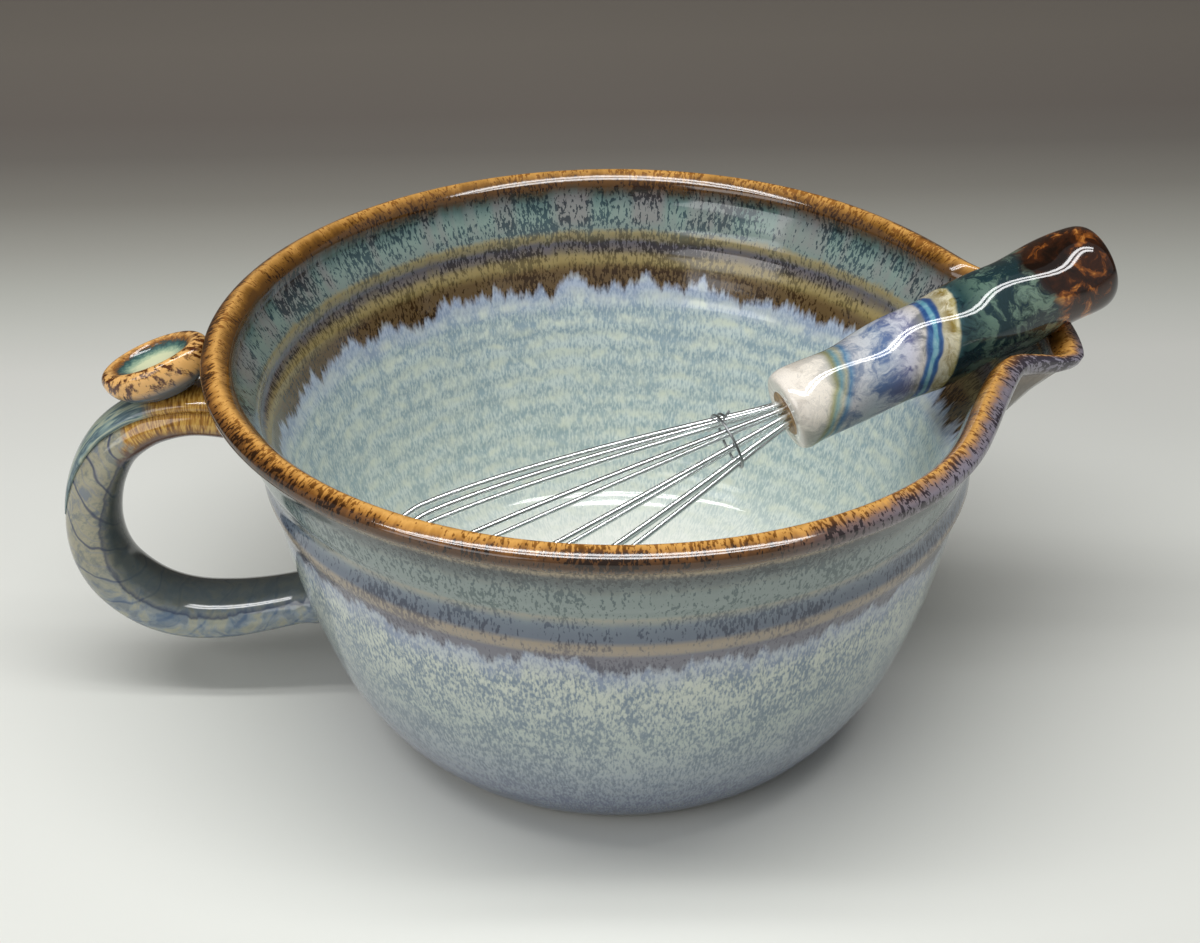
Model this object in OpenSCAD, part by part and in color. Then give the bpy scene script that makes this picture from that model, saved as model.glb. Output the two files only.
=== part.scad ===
// Batter bowl with a pulled spout, a loop handle with a thumb rest, and its loose whisk.
// Millimetres. The origin is the centre of the foot on the table, +Z is up, +X points out
// through the spout and the handle is on -X.

/* [Bowl] */
// Outer radius of the bowl at the rim bead
rim_r = 110; // [80:1:150]
// Height of the bowl, from the table to the top of the rim
bowl_h = 115; // [80:1:160]
// Radius of the hollow turned under the foot, inside the foot ring
foot_hollow_r = 50; // [30:1:55]
// Depth of the hollow under the foot
foot_hollow_h = 3; // [1:0.5:4]
// How far the spout is pulled out past the round rim
spout_out = 17.5; // [5:0.5:20]
// How far the lip of the spout dips below the rim
spout_dip = 6.2; // [0:0.1:8]
// Height of the wall, down from the rim, that the spout was pulled from
spout_throat_h = 36; // [20:1:60]
// Turn of the spout from the handle's line, as hands left it, in degrees
spout_turn = 8; // [-15:1:15]
// Half width of the spout as an angle round the bowl, in degrees
spout_half_angle = 12.1; // [8:0.1:15]
// How far the rim is drawn in at the front of the spout
pinch_front = 5.6; // [0:0.2:7]
// How far the rim is drawn in at the back of the spout
pinch_back = 1; // [0:0.2:7]
// Angle from the spout to each pinch, in degrees
pinch_angle = 27.6; // [20:0.1:35]
// Angle over which a pinch fades, in degrees
pinch_spread = 16.5; // [8:0.5:20]
// Wall points round the bowl, closer together at the spout
bowl_steps = 88; // [48:4:120]

/* [Handle] */
// How far the handle's middle line stands out past the rim
handle_out = 35.3; // [25:0.1:50]
// Height of the rim above the handle's middle line at its upper joint
handle_below_rim = 25; // [18:0.5:40]
// Height of the handle's middle line at its lowest point
handle_low_h = 25.8; // [20:0.2:50]
// Half thickness of the handle, across its loop, where it is thickest
handle_half_t = 8; // [5:0.1:12]
// Half width of the handle, front to back, where it is widest
handle_half_w = 11; // [6:0.1:16]

/* [Thumb rest] */
// Half length of the oval thumb rest, out from the bowl
rest_half_l = 15.6; // [8:0.1:20]
// Half width of the oval thumb rest
rest_half_w = 10.6; // [6:0.1:16]
// Height of the clay pad, down to inside the tail that it sits on
rest_h = 12.5; // [8:0.5:18]
// How far the pad's middle stands out past the rim
rest_out = 14.8; // [8:0.1:25]
// Height of the rim above the pad's crest at its middle
rest_below_rim = 7.2; // [0:0.1:15]
// Depth of the thumb print below the pad's crest
print_depth = 3; // [1:0.1:5]
// Tilt of the pad, its outer end being lower, in degrees
rest_tilt = 22; // [0:1:35]
// Half thickness of the pad's tail, which runs down the handle's outer side
tail_half_t = 3; // [1.5:0.1:5]
// Half width of the tail
tail_half_w = 7.8; // [4:0.1:10]

/* [Whisk grip] */
// Length of the glazed grip
grip_l = 98; // [80:1:140]
// Greatest radius of the grip
grip_r = 12.6; // [9:0.1:16]
// Radius of the bore that the wires are set in
bore_r = 6.2; // [5:0.1:8]
// Depth of that bore
bore_l = 24; // [15:1:40]
// Free space between the grip and the lip of the spout under it
seat_gap = 0.3; // [0.1:0.1:1]
// Distance back from the spout's outer edge to the place that the grip lies over
seat_back = 6.2; // [0:0.1:14]
// Height of the rim above that place
seat_below_rim = 6.2; // [0:0.1:8]
// Angle of that place round the bowl, in degrees
seat_angle = 7.6; // [-10:0.1:15]
// Free space between the whisk's tip and the inside of the wall
tip_to_wall = 1.1; // [0.8:0.1:3]
// Angle round the bowl to the place where the tip leans on the wall, in degrees
tip_angle = 222.4; // [150:0.5:260]

/* [Whisk wires] */
// Diameter of a loop wire
wire_d = 1.5; // [1:0.1:2.4]
// Number of wire loops
loops = 5; // [3:1:6]
// Length of the longest loop, from the grip to the tip
loop_l = 120; // [90:1:160]
// Greatest half width of a loop
loop_r = 20; // [15:0.5:35]
// Share of a loop's length at its widest place
loop_wide_share = 0.8075; // [0.6:0.01:0.9]
// Radius of the circle on which the wires leave the grip
exit_r = 3.2; // [3:0.1:4.6]
// Turn of the loops about the whisk's own line, in degrees
loop_turn = -12.6; // [-36:0.1:36]
// Free space between one loop and the next where they cross at the tip
tip_gap = 0.6; // [0.4:0.1:2]
// Depth of a wire's end in the grip
wire_set = 21; // [10:1:38]

/* [Binding wire] */
// Diameter of the thin binding wire
bind_d = 0.7; // [0.4:0.1:1]
// Distance of the binding wire from the grip
bind_at = 17; // [8:0.5:40]
// Free space between the loop wires and the binding wire round them
bind_gap = 0.15; // [0.05:0.05:0.5]
// Rise of the binding wire along the whisk in one turn
bind_pitch = 1.6; // [1.2:0.1:4]
// Length of a binding wire's end that sticks out
bind_tail = 3.2; // [1:0.1:6]

/* [Hidden] */
$fn = 96;

// The wall's outline from the foot's edge up the outside, over the bead and down the inside:
// first the shares of the rim radius, then the shares of the bowl's height.
wall_r_shares = [0.523, 0.553, 0.595, 0.645, 0.691, 0.733, 0.769, 0.804, 0.831, 0.851, 0.872, 0.871,
                 0.885, 0.908, 0.915, 0.938, 0.960, 0.985, 1.000, 0.992, 0.969, 0.946, 0.935, 0.924,
                 0.896, 0.871, 0.855, 0.8545, 0.838, 0.831, 0.804, 0.776, 0.745, 0.712, 0.676, 0.623,
                 0.527, 0.382, 0.182];
wall_z_shares = [0.000, 0.0096, 0.0313, 0.0852, 0.152, 0.230, 0.325, 0.430, 0.539, 0.635, 0.690, 0.735,
                 0.774, 0.803, 0.835, 0.887, 0.933, 0.944, 0.968, 0.990, 1.000, 0.993, 0.972, 0.930,
                 0.896, 0.854, 0.826, 0.805, 0.783, 0.748, 0.661, 0.552, 0.417, 0.317, 0.240, 0.181,
                 0.1357, 0.1026, 0.0835];
floor_z_share = 0.0783;
outer_steps = 21;                       // rows of the outline up to the top of the bead
wall_rows = len(wall_r_shares);

// Angles round the bowl, close together at the spout.
function wall_angle(i) = let (a = 360 * i / bowl_steps)
    spout_turn + a - (0.40 * sin(a) + 0.15 * sin(2 * a)) * 180 / PI;
function from_spout(a) = let (d = a - spout_turn) d > 180 ? d - 360 : d < -180 ? d + 360 : d;
function bell(x) = exp(-x * x);
spout_corner = 9.3;                     // how square the spout's sides are
function spout_share(a) = 1 / (1 + pow(abs(from_spout(a)) / spout_half_angle, spout_corner));
function pinch(a) = pinch_front * bell((from_spout(a) + pinch_angle) / pinch_spread)
    + pinch_back * bell((from_spout(a) - pinch_angle) / pinch_spread);
function throat_share(z) = let (t = max(0, min(1, 1 - (bowl_h - z) / spout_throat_h))) t * t * (1.9 - 0.9 * t);
// A point of the bowl's wall, moved by the spout.
function wall_point(r, z, a) =
    let (w = throat_share(z),
         r2 = r + w * (spout_out * spout_share(a) - pinch(a)),
         z2 = z - spout_dip * spout_share(a) * pow(w, 3))
    [r2 * cos(a), r2 * sin(a), z2];

// The faces between rows of points that close on themselves.
function row_faces(rows, n) = [for (j = [0 : rows - 2], i = [0 : n - 1])
    let (k = (i + 1) % n, a = j * n + i, b = j * n + k, c = (j + 1) * n + k, d = (j + 1) * n + i)
    each [[a, c, b], [a, d, c]]];
function first_cap(n, pole) = [for (i = [0 : n - 1]) [pole, i, (i + 1) % n]];
function last_cap(rows, n, pole) = [for (i = [0 : n - 1]) [pole, (rows - 1) * n + (i + 1) % n, (rows - 1) * n + i]];

// A smooth curve through the points of a list, with the same number of steps in each span.
function smooth_at(p, i, t) =
    let (n = len(p), a = p[max(i - 1, 0)], b = p[i], c = p[min(i + 1, n - 1)], d = p[min(i + 2, n - 1)])
    b + 0.5 * t * (c - a + t * (2 * a - 5 * b + 4 * c - d + t * (3 * (b - c) + d - a)));
function smooth(p, steps) = concat([for (i = [0 : len(p) - 2], s = [0 : steps - 1]) smooth_at(p, i, s / steps)],
    [p[len(p) - 1]]);
function unit(v) = v / norm(v);

// The handle's middle line: shares of the rim's radius and of how far it stands out past the rim,
// the share of the way from its lowest height up to its upper joint, and the shares of its full
// half thickness and half width.
handle_line_shares = [
    [0.845, 0.000, 0.965, 0.70, 0.78], [0.878, 0.208, 0.985, 0.70, 0.78], [0.908, 0.403, 1.000, 0.70, 0.78],
    [0.932, 0.561, 0.980, 0.72, 0.78], [0.955, 0.708, 0.928, 0.76, 0.79], [0.976, 0.844, 0.835, 0.82, 0.82],
    [0.992, 0.947, 0.690, 0.90, 0.88], [1.000, 0.997, 0.517, 0.96, 0.94], [0.999, 0.996, 0.360, 1.00, 0.98],
    [0.985, 0.952, 0.228, 1.00, 1.00], [0.960, 0.873, 0.123, 1.00, 1.00], [0.927, 0.767, 0.045, 0.98, 1.00],
    [0.887, 0.637, 0.005, 0.94, 1.00], [0.842, 0.493, 0.002, 0.90, 0.97], [0.797, 0.350, 0.024, 0.84, 0.92],
    [0.752, 0.206, 0.058, 0.78, 0.86], [0.687, 0.000, 0.110, 0.75, 0.84]];
handle_points = smooth(handle_line_shares, 2);
handle_top_h = bowl_h - handle_below_rim;
handle_sides = 18;
function handle_mid(k) = let (q = handle_points[k])
    [-rim_r * q[0] - handle_out * q[1], 0, handle_low_h + (handle_top_h - handle_low_h) * q[2]];
handle_rows = len(handle_points);
function handle_dir(k) = unit(handle_mid(min(k + 1, handle_rows - 1)) - handle_mid(max(k - 1, 0)));
// The direction across the handle, towards the inside of its loop.
function handle_in(k) = let (d = handle_dir(k)) [-d[2], 0, d[0]];

// The tail starts under the pad and thins out down the handle's outer side.
tail_first = 3;
tail_last = 14;
tail_sides = 14;
tail_sink = 0.92;
function tail_share(k) = (k - tail_first) / (tail_last - tail_first);

// The pad's outline down from its print: shares of its half sizes, then of its height.
rest_r_shares = [0.22, 0.45, 0.62, 0.72, 0.82, 0.93, 1.00, 1.00, 0.95, 0.84, 0.66, 0.45];
rest_z_shares = [-0.230, -0.200, -0.125, -0.040, 0.000, -0.040, -0.160, -0.340, -0.520, -0.680, -0.820, -0.960];
rest_sides = 28;

// The grip's outline: shares of its length from the wire end, then of its greatest radius.
grip_l_shares = [0.000, 0.008, 0.030, 0.080, 0.180, 0.300, 0.420, 0.560, 0.720, 0.860, 0.930, 0.965, 0.988, 1.000];
grip_r_shares = [0.800, 0.870, 0.905, 0.895, 0.880, 0.930, 0.975, 0.990, 1.000, 1.000, 0.975, 0.900, 0.740, 0.520];

// The place on the spout under the grip, the place on the wall that the tip leans on, and the
// whisk's line over the one and down to the other.
wall_share_at_tip = 0.7755;
tip_h_share = 0.546;
seat_r = rim_r + spout_out - seat_back;
tip_r = rim_r * wall_share_at_tip - tip_to_wall;
seat_place = [seat_r * cos(seat_angle), seat_r * sin(seat_angle), bowl_h - seat_below_rim];
tip_place = [tip_r * cos(tip_angle), tip_r * sin(tip_angle), bowl_h * tip_h_share];
seat_line = seat_place - tip_place;
seat_over = grip_r + seat_gap;
whisk_turn = atan2(seat_line[1], seat_line[0]);
whisk_slope = asin(seat_line[2] / norm(seat_line)) + asin(seat_over / norm(seat_line));
whisk_reach = sqrt(norm(seat_line) * norm(seat_line) - seat_over * seat_over);

// A loop's middle line in its own plane: distance along the whisk and distance from its middle.
loop_wide_at = loop_l * loop_wide_share;
loop_steps = 13;
loop_arc_steps = 8;
wire_sides = 8;
function loop_len(k) = loop_l - k * (wire_d + tip_gap);
function opening_share(t) = let (u = t * t / (t + 0.04)) (1 - pow(1 - min(u / 0.9615, 1), 1.35));
function half_loop(k) = concat(
    [[-wire_set, exit_r]],
    [for (i = [0 : loop_steps]) let (t = pow(i / loop_steps, 1.15))
        [t * loop_wide_at, exit_r + (loop_r - exit_r) * opening_share(t)]],
    [for (i = [1 : loop_arc_steps]) let (a = 90 * i / loop_arc_steps)
        [loop_wide_at + (loop_len(k) - loop_wide_at) * sin(a), loop_r * cos(a)]]);
function mirrored(p) = [for (i = [len(p) - 2 : -1 : 0]) [p[i][0], -p[i][1]]];
function loop_line(k) = let (h = half_loop(k)) concat(h, mirrored(h));

// A round tube through the points of a list in the plane of the whisk and one side direction.
function plane_dir(p, i) = unit(p[min(i + 1, len(p) - 1)] - p[max(i - 1, 0)]);
module flat_tube(p, r, sides) {
    n = len(p);
    pts = [for (i = [0 : n - 1]) let (d = plane_dir(p, i), q = [-d[1], d[0]])
        for (s = [0 : sides - 1]) let (a = 360 * (s + 0.5) / sides)
            [p[i][1] + r * cos(a) * q[1], r * sin(a), p[i][0] + r * cos(a) * q[0]]];
    polyhedron(concat(pts, [[p[0][1], 0, p[0][0]], [p[n - 1][1], 0, p[n - 1][0]]]),
        concat(row_faces(n, sides), first_cap(sides, n * sides), last_cap(n, sides, n * sides + 1)));
}

// Sets a whisk piece, drawn with its wires going up from the grip's end at the origin, in the bowl.
module in_bowl() {
    translate(tip_place) rotate([0, 0, whisk_turn]) rotate([0, 270 - whisk_slope, 0])
        translate([0, 0, -loop_l]) children();
}

// The solid inside the bowl's outer surface near the handle, which cuts the joints to fit.
wedge_half_steps = 7;
module bowl_wedge() {
    m = 2 * wedge_half_steps + 1;
    rows = outer_steps;
    pts = [for (j = [0 : rows - 1], i = [0 : m - 1])
        wall_point(wall_r_shares[j] * rim_r, wall_z_shares[j] * bowl_h, wall_angle(bowl_steps / 2 - wedge_half_steps + i))];
    base = rows * m;
    ends = [[0, 0, 0], [0, 0, bowl_h / 2], [0, 0, bowl_h]];
    skin = [for (j = [0 : rows - 2], i = [0 : m - 2])
        let (a = j * m + i, b = a + 1, d = a + m, c = d + 1) each [[a, c, b], [a, d, c]]];
    low = [for (i = [0 : m - 2]) [base, i, i + 1]];
    top = [for (i = [0 : m - 2]) [base + 2, (rows - 1) * m + i + 1, (rows - 1) * m + i]];
    side1 = concat([[base + 1, 0, base], [base + 1, base + 2, (rows - 1) * m]],
        [for (j = [0 : rows - 2]) [base + 1, (j + 1) * m, j * m]]);
    side2 = concat([[base + 1, base, m - 1], [base + 1, rows * m - 1, base + 2]],
        [for (j = [0 : rows - 2]) [base + 1, j * m + m - 1, (j + 1) * m + m - 1]]);
    polyhedron(concat(pts, ends), concat(skin, low, top, side1, side2));
}

// An oval strap along a line of middle points, with its half thickness and half width at each.
module strap(mids, ins, halves, sides) {
    n = len(mids);
    pts = [for (k = [0 : n - 1], s = [0 : sides - 1]) let (a = -360 * s / sides)
        mids[k] + halves[k][0] * cos(a) * ins[k] + [0, halves[k][1] * sin(a), 0]];
    polyhedron(concat(pts, [mids[0], mids[n - 1]]),
        concat(row_faces(n, sides), first_cap(sides, n * sides), last_cap(n, sides, n * sides + 1)));
}

module handle_form() {
    strap([for (k = [0 : handle_rows - 1]) handle_mid(k)], [for (k = [0 : handle_rows - 1]) handle_in(k)],
          [for (k = [0 : handle_rows - 1]) [handle_half_t * handle_points[k][3], handle_half_w * handle_points[k][4]]],
          handle_sides);
}

module tail_form() {
    strap([for (k = [tail_first : tail_last]) handle_mid(k) - tail_sink * handle_half_t * handle_points[k][3] * handle_in(k)],
          [for (k = [tail_first : tail_last]) handle_in(k)],
          [for (k = [tail_first : tail_last]) let (q = tail_share(k) * tail_share(k))
              [tail_half_t * (1 - 0.75 * q), tail_half_w * (1 - 0.45 * q)]],
          tail_sides);
}

module rest_form() {
    rows = len(rest_r_shares);
    pts = [for (j = [0 : rows - 1], i = [0 : rest_sides - 1]) let (a = -360 * i / rest_sides)
        [rest_half_l * rest_r_shares[j] * cos(a), rest_half_w * rest_r_shares[j] * sin(a),
         rest_h * rest_z_shares[j]]];
    polyhedron(concat(pts, [[0, 0, -print_depth], [0, 0, -rest_h]]),
        concat(row_faces(rows, rest_sides), first_cap(rest_sides, rows * rest_sides),
               last_cap(rows, rest_sides, rows * rest_sides + 1)));
}

module bowl_body() color("#9AA8A8") difference() {
    polyhedron(
        concat([for (j = [0 : wall_rows - 1], i = [0 : bowl_steps - 1])
                    wall_point(wall_r_shares[j] * rim_r, wall_z_shares[j] * bowl_h, wall_angle(i))],
               [[0, 0, 0], [0, 0, floor_z_share * bowl_h]]),
        concat(row_faces(wall_rows, bowl_steps), first_cap(bowl_steps, wall_rows * bowl_steps),
               last_cap(wall_rows, bowl_steps, wall_rows * bowl_steps + 1)));
    cylinder(h = 2 * foot_hollow_h, r = foot_hollow_r, center = true);
}

module handle() color("#B9B49A") difference() {
    handle_form();
    bowl_wedge();
}

module thumb_rest() color("#B97A2A") difference() {
    union() {
        translate([-rim_r - rest_out, 0, bowl_h - rest_below_rim]) rotate([0, -rest_tilt, 0]) rest_form();
        tail_form();
    }
    bowl_wedge();
    handle_form();
}

module grip_form() {
    rotate_extrude() polygon(concat([[0, 0]],
        [for (i = [0 : len(grip_l_shares) - 1]) [grip_r * grip_r_shares[i], -grip_l * grip_l_shares[i]]],
        [[0, -grip_l]]));
}

module whisk_grip() color("#6F7C9A") in_bowl() difference() {
    grip_form();
    translate([0, 0, -bore_l]) cylinder(h = 2 * bore_l, r = bore_r);
}

module grip_plug() color("#A5763F") in_bowl() difference() {
    translate([0, 0, -bore_l]) cylinder(h = bore_l, r = bore_r);
    for (k = [0 : 2 * loops - 1])
        rotate([0, 0, loop_turn + 180 * (k + 0.5) / loops]) translate([exit_r, 0, -wire_set]) cylinder(h = 2 * wire_set, d = wire_d);
}

module wire_loop(k) {
    if (k < loops) color("#C9CDD0") in_bowl()
        rotate([0, 0, loop_turn + 180 * (k + 0.5) / loops]) flat_tube(loop_line(k), wire_d / 2, wire_sides);
}
module whisk_wire_1() { wire_loop(0); }
module whisk_wire_2() { wire_loop(1); }
module whisk_wire_3() { wire_loop(2); }
module whisk_wire_4() { wire_loop(3); }
module whisk_wire_5() { wire_loop(4); }

// The binding wire goes round all the strands once and a bit, and its two ends stick out.
bind_turns = 1.25;
bind_sides = 6;
bind_steps = 40;
bind_share = bind_at / loop_wide_at;
bind_r = exit_r + (loop_r - exit_r) * opening_share(bind_share) + wire_d / 2 + bind_d / 2 + bind_gap;
bind_slope = (loop_r - exit_r) * (opening_share(bind_share + 0.01) - opening_share(bind_share)) / (0.01 * loop_wide_at);
function bind_turn_point(t) = let (h = bind_pitch * bind_turns * (t - 0.5), a = 360 * bind_turns * t, r = bind_r + bind_slope * h)
    [r * cos(a), r * sin(a), bind_at + h];
function bind_end_dir(t, s) = let (a = 360 * bind_turns * t) [cos(a) * 0.8 - s * sin(a) * 0.6, sin(a) * 0.8 + s * cos(a) * 0.6, s * 0.25];
bind_line = concat(
    [bind_turn_point(0) + bind_tail * bind_end_dir(0, -1), bind_turn_point(0) + 0.5 * bind_tail * bind_end_dir(0, -1)],
    [for (i = [0 : bind_steps]) bind_turn_point(i / bind_steps)],
    [bind_turn_point(1) + 0.5 * bind_tail * bind_end_dir(1, 1), bind_turn_point(1) + bind_tail * bind_end_dir(1, 1)]);
// The least free space between a place on the binding wire and any place that isn't beside it.
function bind_self_gap() = min([for (i = [0 : len(bind_line) - 1], j = [0 : len(bind_line) - 1])
    if (j > i + 4) norm(bind_line[i] - bind_line[j]) - bind_d]);
echo(binding_wire_gap_to_itself_mm = bind_self_gap());

module binding_wire() color("#8E9296") in_bowl() {
    n = len(bind_line);
    pts = [for (i = [0 : n - 1])
        let (p = bind_line[i], d = unit(bind_line[min(i + 1, n - 1)] - bind_line[max(i - 1, 0)]),
             u = unit(cross(d, [0, 0, 1])), v = cross(u, d))
        for (s = [0 : bind_sides - 1]) let (a = -360 * s / bind_sides) p + bind_d / 2 * (cos(a) * u + sin(a) * v)];
    polyhedron(concat(pts, [bind_line[0], bind_line[n - 1]]),
        concat(row_faces(n, bind_sides), first_cap(bind_sides, n * bind_sides), last_cap(n, bind_sides, n * bind_sides + 1)));
}

bowl_body();
handle();
thumb_rest();
whisk_grip();
grip_plug();
whisk_wire_1();
whisk_wire_2();
whisk_wire_3();
whisk_wire_4();
whisk_wire_5();
binding_wire();
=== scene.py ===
# %% [markdown]
# # A stoneware batter bowl and its whisk
# The bowl was thrown on a wheel, its lip pulled out into a spout and a loop of pulled
# clay joined on as a handle. A whisk with a clay grip lies in it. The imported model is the
# frame: every piece made here rides on one of its two bodies, the bowl and the whisk.

import math

import bmesh
import bpy
from mathutils import Matrix, Vector


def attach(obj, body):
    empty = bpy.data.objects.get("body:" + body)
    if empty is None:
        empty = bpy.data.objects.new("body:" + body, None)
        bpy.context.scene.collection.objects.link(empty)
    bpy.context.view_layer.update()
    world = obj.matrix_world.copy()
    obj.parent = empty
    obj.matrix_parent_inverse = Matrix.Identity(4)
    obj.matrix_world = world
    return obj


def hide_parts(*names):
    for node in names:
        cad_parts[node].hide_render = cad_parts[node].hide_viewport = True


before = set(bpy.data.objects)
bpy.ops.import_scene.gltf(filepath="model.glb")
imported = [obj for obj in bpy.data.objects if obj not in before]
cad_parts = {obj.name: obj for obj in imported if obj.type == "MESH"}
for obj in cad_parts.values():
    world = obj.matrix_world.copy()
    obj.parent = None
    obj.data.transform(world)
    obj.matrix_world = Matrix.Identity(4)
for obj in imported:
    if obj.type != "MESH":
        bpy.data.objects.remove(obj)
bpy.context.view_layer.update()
MM = 0.001

# %% [markdown]
# ## Camera
# The bowl is seen from about 31 degrees above, from a bit over half a metre away. The
# lens follows from that distance and the width that the rim takes up in the picture.

# %% Camera
EYE = (-4.5, -549.8, 401.6)
LOOKING_DOWN = 31.01
camera_data = bpy.data.cameras.new("camera")
camera_data.sensor_width = 36.0
camera_data.lens = 69.84
camera_data.clip_start = 0.01
camera = bpy.data.objects.new("camera", camera_data)
camera.location = [v * MM for v in EYE]
camera.rotation_euler = (math.radians(90 - LOOKING_DOWN), 0, 0)
bpy.context.scene.collection.objects.link(camera)
bpy.context.scene.camera = camera
bpy.context.scene.view_settings.view_transform = "Standard"
print("lens", camera_data.lens, "mm")

# %% [markdown]
# ## Helpers for pieces
# A piece is drawn with bmesh operators, its normals are made to point outwards, and it
# is handed to the body that it belongs to. Lengths are written in millimetres.

# %% A finished piece
def finished(bm, name, body, material, replaced=()):
    bmesh.ops.remove_doubles(bm, verts=bm.verts, dist=0.02 * MM)
    bmesh.ops.recalc_face_normals(bm, faces=bm.faces)
    mesh = bpy.data.meshes.new(name)
    bm.to_mesh(mesh)
    bm.free()
    mesh.shade_smooth()
    mesh.materials.append(material)
    piece = bpy.data.objects.new(name, mesh)
    bpy.context.scene.collection.objects.link(piece)
    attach(piece, body)
    if replaced:
        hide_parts(*replaced)
    print(name, len(mesh.polygons), "faces")


# %% A smooth line through given points, and a turned shape
def smooth_line(points, steps, longest=math.inf):
    """Points on a curve through each of the given ones, with as many steps between, or with
    more where a step would be longer than the longest."""
    points = [Vector(p) for p in points]
    line = []
    for i in range(len(points) - 1):
        a, b = points[max(i - 1, 0)], points[i]
        c, d = points[i + 1], points[min(i + 2, len(points) - 1)]
        count = max(steps, math.ceil((c - b).length / longest))
        for s in range(count):
            t = s / count
            line.append(b + 0.5 * t * (c - a + t * (2 * a - 5 * b + 4 * c - d + t * (3 * (b - c) + d - a))))
    return line + [points[-1]]


def spun(bm, row, steps):
    """Joins a row of points into an outline and spins it round the upright axis."""
    edges = [bm.edges.new(pair) for pair in zip(row, row[1:])]
    bmesh.ops.spin(bm, geom=row + edges, cent=(0, 0, 0), axis=(0, 0, 1), angle=2 * math.pi, steps=steps,
                   use_merge=True)


# %% [markdown]
# ## Helpers for materials
# One function adds a node with its settings and links, and one turns a colour as a
# screen shows it into the linear values that the shader works with.

# %% Nodes and colours
def linear(hex_colour):
    values = [int(hex_colour[i : i + 2], 16) / 255 for i in (1, 3, 5)]
    return [v / 12.92 if v <= 0.04045 else ((v + 0.055) / 1.055) ** 2.4 for v in values] + [1.0]


def add(material, kind, inputs=None, stops=None, **settings):
    """Adds a node. An input is a value, an output that is linked to it, or a node, which
    gives its first output. The stops of a ramp are hex colours or greys from 0 to 1."""
    node = material.node_tree.nodes.new("ShaderNode" + kind)
    for key, value in settings.items():
        setattr(node, key, value)
    if stops:
        ramp = node.color_ramp
        while len(ramp.elements) < len(stops):
            ramp.elements.new(1.0)
        for element, (place, colour) in zip(ramp.elements, stops):
            element.position = place
            element.color = linear(colour) if isinstance(colour, str) else (colour,) * 3 + (1.0,)
    for key, value in (inputs or {}).items():
        if isinstance(value, bpy.types.Node):
            value = value.outputs[0]
        if isinstance(value, bpy.types.NodeSocket):
            material.node_tree.links.new(value, node.inputs[key])
        else:
            node.inputs[key].default_value = value
    return node


def new_material(name):
    material = bpy.data.materials.new(name)
    material.use_nodes = True
    material.node_tree.nodes.clear()
    return material


def shaded(material, colour, roughness, **values):
    """The material's surface: a Principled shader with its constant values on its own sockets."""
    shader = add(material, "BsdfPrincipled", {"Base Color": colour, "Roughness": roughness, **values})
    add(material, "OutputMaterial", {"Surface": shader})
    print(material.name, len(material.node_tree.nodes), "nodes")


# %% [markdown]
# ## The outline of the bowl's wall
# A thrown pot is a turned shape, so one outline, from the middle of the foot up the
# outside, over the bead and down to the middle of the floor, gives nearly all of it. The
# two soft ridges under the rim, outside and in, are where the potter's fingers paused.
# It could be sculpted by hand, but points read from the picture at each height are
# easier to check and to correct.

# %% The outline, radius and height in mm
OUTSIDE = [
    (0, 3), (25, 3), (49.5, 3), (50, 2.6), (50, 0.3), (50.4, 0), (57.2, 0), (60.8, 1.1), (65.4, 3.6),
    (70.9, 9.8), (76, 17.5), (80.6, 26.4), (84.6, 37.4), (88.4, 49.5), (91.4, 62), (93.6, 73),
    (95.9, 79.3), (95.8, 84.5), (97.3, 89), (99.2, 92.3), (100.4, 96), (101.7, 100), (103.2, 103),
    (105.6, 107.3), (108.4, 108.6), (109.8, 110.5), (110, 112), (109.7, 112.9), (108.6, 113.75),
    (107.2, 114.5), (105.9, 115),
]
INSIDE = [
    (105, 114.8), (103.9, 114), (102.85, 113.05), (102, 112), (101.65, 110.5), (101.4, 107.5),
    (98.6, 103), (96.3, 99.6), (95.6, 97.8), (95.4, 94.8), (94.4, 92.8), (93.2, 90.8), (92.1, 87.4),
    (88.4, 76), (85.4, 63.5), (81.9, 48), (78.3, 36.5), (74.4, 27.6), (68.5, 20.8), (58, 15.6),
    (42, 11.8), (20, 9.6), (0, 9),
]
outline = smooth_line([(r, 0, z) for r, z in OUTSIDE + INSIDE], 3, longest=1.3)
arc = [0.0]
for a, b in zip(outline, outline[1:]):
    arc.append(arc[-1] + (b - a).length)
CREST = max(range(len(outline)), key=lambda i: outline[i].z)
RIM_ARC = arc[CREST]
ARC_LENGTH = arc[-1]
print("outline", round(ARC_LENGTH, 1), "mm long, rim at", round(RIM_ARC, 1))

# %% Throwing rings inside: the fingers' spiral, from the edge of the floor up to the inner ridge
RING_STEP, RING_DEPTH = 6.2, 0.14
RINGS_TOP, RINGS_START = 82, 20
for point, length in zip(outline, arc):
    if length > RIM_ARC and point.z < RINGS_TOP and point.x > RINGS_START:
        point.x += RING_DEPTH * math.sin(2 * math.pi * length / RING_STEP)
print("rings every", RING_STEP, "mm")

# %% Heights on the wall, as shares of the outline's length
FOOT_RADIUS = 57


def arc_at(side, height):
    """How far along the outline a height is, outside of the foot or inside the bowl."""
    rows = range(CREST + 1) if side == "out" else range(CREST, len(outline))
    wall = [i for i in rows if side == "in" or outline[i].x > FOOT_RADIUS]
    return arc[min(wall, key=lambda i: abs(outline[i].z - height))] / ARC_LENGTH


# %% [markdown]
# ## The spout
# A spout is pulled by stroking the soft rim outwards between two fingers, which also
# pulls the rim in a little on both sides and lets the lip dip. A spout cut and joined on
# would leave a seam. Moving the points of the turned wall does what the fingers did.

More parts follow.
